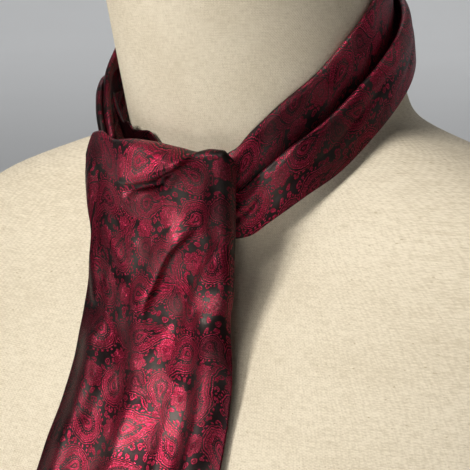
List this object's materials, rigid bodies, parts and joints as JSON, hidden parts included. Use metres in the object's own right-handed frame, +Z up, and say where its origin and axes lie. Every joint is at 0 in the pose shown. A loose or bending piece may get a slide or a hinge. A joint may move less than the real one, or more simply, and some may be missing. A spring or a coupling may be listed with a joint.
{
  "type": "silk cravat on a dress form",
  "caption": "Pleated silk neckband tied at the throat, its pointed blade rolled over the knot and hanging down the chest of a limbless linen dress form.",
  "frame": {"origin": "centre of the dress form's flat base", "axes": "+Z up the form; the cravat faces -Y; the wearer's left is +X"},
  "size_m": [0.398, 0.2331, 0.616],
  "materials": {
    "burgundy_paisley_silk": "jacquard silk, crimson paisley figure on a near-black satin ground, soft gloss",
    "burgundy_silk_reverse": "the same silk in the knot's shade, its figure duller",
    "cream_linen": "plain-woven natural linen, matt, stretched smooth over the form"
  },
  "bodies": {
    "root": {"dress_form": "cream_linen", "neckband_left": "burgundy_paisley_silk", "neckband_right": "burgundy_paisley_silk", "knot_inner": "burgundy_silk_reverse", "knot_wrap": "burgundy_silk_reverse", "front_blade": "burgundy_paisley_silk", "under_blade": "burgundy_paisley_silk"}
  },
  "joints": []
}
